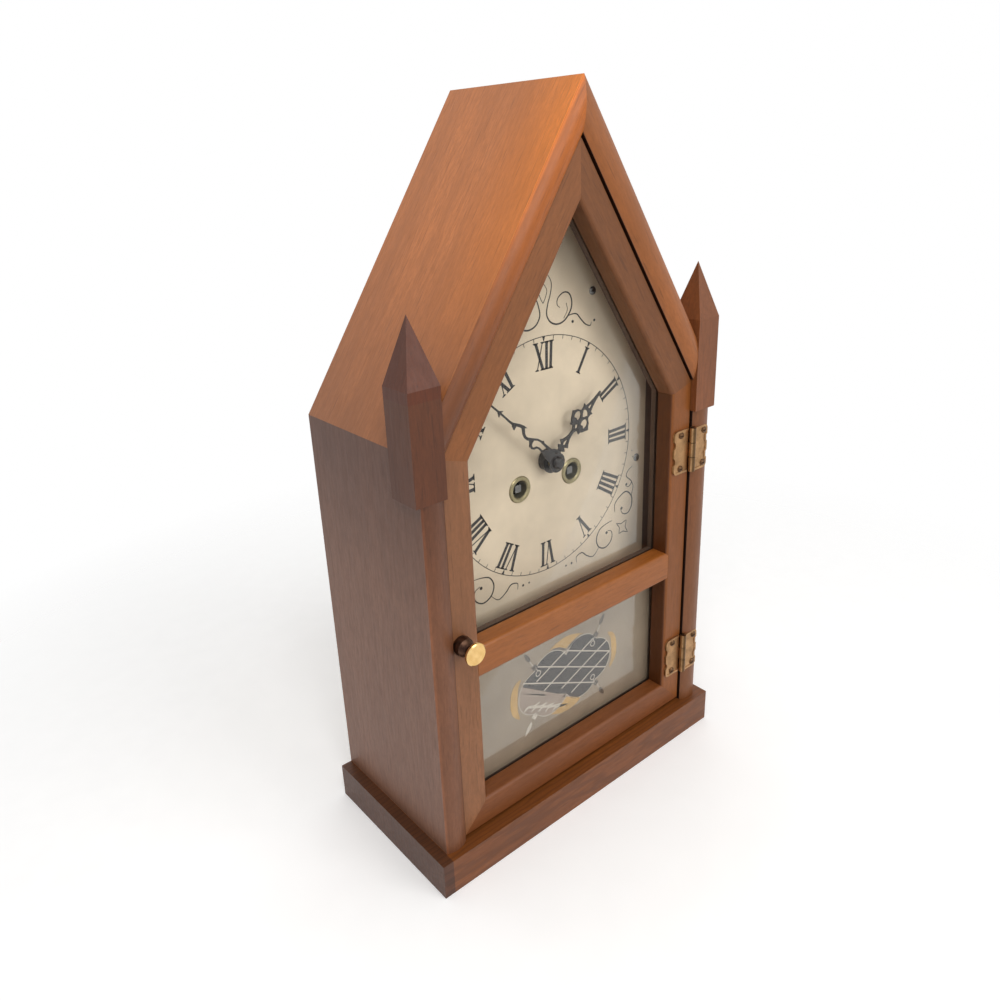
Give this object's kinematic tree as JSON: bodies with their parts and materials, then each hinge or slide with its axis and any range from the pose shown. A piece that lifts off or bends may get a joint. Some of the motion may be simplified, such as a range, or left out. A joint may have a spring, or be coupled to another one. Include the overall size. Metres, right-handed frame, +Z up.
{
  "type": "steeple clock",
  "caption": "Wooden shelf clock with a steep pointed roof, corner finials, hinged glazed door, geared hands behind glass and a hanging pendulum.",
  "frame": {"origin": "centre of the base underside, on the surface the clock stands on", "axes": "+X to the viewer's right across the front, +Y from the front to the back, +Z up"},
  "size_m": [0.208, 0.1022, 0.3753],
  "materials": {
    "case_wood": "satin lacquered cherry-toned wood, grain along each board",
    "door_wood": "satin lacquered red-brown wood",
    "plain_wood": "unfinished panel and softwood strips",
    "window_glass": "clear window glass",
    "antique_brass": "darkened antique brass",
    "bright_brass": "polished brass",
    "dial_cream": "cream satin paint",
    "dial_board_grey": "grey-green painted board",
    "hand_black": "black satin paint",
    "screw_steel": "plain steel",
    "gong_iron": "black painted casting"
  },
  "bodies": {
    "case": {"base_board": "case_wood", "left_side_board": "case_wood", "right_side_board": "case_wood", "left_roof_board": "case_wood", "right_roof_board": "case_wood", "left_finial": "case_wood", "right_finial": "case_wood", "back_panel": "plain_wood", "base_screws": "screw_steel", "back_panel_screws": "screw_steel", "door_stop": "plain_wood", "catch_magnet": "screw_steel", "hinge_case_leaves": "antique_brass", "hinge_pins": "antique_brass", "hinge_case_screws": "antique_brass", "dial_board": "dial_board_grey", "dial_plate": "dial_cream", "dial_cleats": "plain_wood", "dial_screws": "bright_brass", "winding_grommets": "bright_brass", "front_movement_plate": "bright_brass", "back_movement_plate": "bright_brass", "movement_posts": "bright_brass", "movement_pillars": "bright_brass", "post_screws": "screw_steel", "pillar_screws": "screw_steel", "minute_wheel_stud": "screw_steel", "suspension_cock": "bright_brass", "gong_block": "gong_iron", "gong_rods": "screw_steel"},
    "door": {"door_left_stile": "door_wood", "door_right_stile": "door_wood", "door_bottom_rail": "door_wood", "door_mid_rail": "door_wood", "door_left_rafter": "door_wood", "door_right_rafter": "door_wood", "upper_glass": "window_glass", "lower_glass": "window_glass", "upper_glass_beads": "plain_wood", "lower_glass_beads": "plain_wood", "door_knob": "bright_brass", "knob_screw": "screw_steel", "catch_plate": "screw_steel", "hinge_door_leaves": "antique_brass", "hinge_door_screws": "antique_brass"},
    "minute_work": {"centre_arbor": "screw_steel", "minute_hand": "hand_black", "hand_nut": "bright_brass"},
    "hour_work": {"hour_wheel": "bright_brass", "hour_hand": "hand_black"},
    "minute_wheel_work": {"minute_wheel": "bright_brass"},
    "time_drum": {"time_barrel": "bright_brass"},
    "strike_drum": {"strike_barrel": "bright_brass"},
    "time_key_shaft": {"time_winding_arbor": "screw_steel"},
    "strike_key_shaft": {"strike_winding_arbor": "screw_steel"},
    "pendulum": {"suspension_spring": "screw_steel", "pendulum_rod": "screw_steel", "pendulum_bob": "bright_brass", "rating_nut": "bright_brass"},
    "hammer": {"strike_hammer": "screw_steel"}
  },
  "joints": [
    {"name": "door_hinge", "type": "hinge", "parent": "case", "child": "door", "pos_m": [0.08455, -0.0438, 0.1], "axis": [0, 0, 1], "range_deg": [0, 105]},
    {"name": "minute_spin", "type": "hinge", "parent": "case", "child": "minute_work", "pos_m": [0, 0, 0.197], "axis": [0, 1, 0], "continuous": true},
    {"name": "hour_spin", "type": "hinge", "parent": "case", "child": "hour_work", "pos_m": [0, 0, 0.197], "axis": [0, 1, 0], "continuous": true},
    {"name": "minute_wheel_spin", "type": "hinge", "parent": "case", "child": "minute_wheel_work", "pos_m": [0, 0, 0.217], "axis": [0, 1, 0], "continuous": true},
    {"name": "time_barrel_spin", "type": "hinge", "parent": "case", "child": "time_drum", "pos_m": [0.0184, 0, 0.1852], "axis": [0, 1, 0], "continuous": true},
    {"name": "strike_barrel_spin", "type": "hinge", "parent": "case", "child": "strike_drum", "pos_m": [-0.0184, 0, 0.1852], "axis": [0, 1, 0], "continuous": true},
    {"name": "time_winding", "type": "hinge", "parent": "case", "child": "time_key_shaft", "pos_m": [0.0184, 0, 0.1852], "axis": [0, 1, 0], "continuous": true},
    {"name": "strike_winding", "type": "hinge", "parent": "case", "child": "strike_key_shaft", "pos_m": [-0.0184, 0, 0.1852], "axis": [0, 1, 0], "continuous": true},
    {"name": "pendulum_swing", "type": "hinge", "parent": "case", "child": "pendulum", "pos_m": [0, 0.0335, 0.243], "axis": [0, 1, 0], "range_deg": [-4, 4]},
    {"name": "hammer_lift", "type": "hinge", "parent": "case", "child": "hammer", "pos_m": [0.024, 0, 0.16], "axis": [0, 1, 0], "range_deg": [0, 25]}
  ],
  "couplings": [
    {"joint": "hour_spin", "follows": "minute_spin", "ratio": 0.083333},
    {"joint": "minute_wheel_spin", "follows": "minute_spin", "ratio": -0.33333}
  ]
}
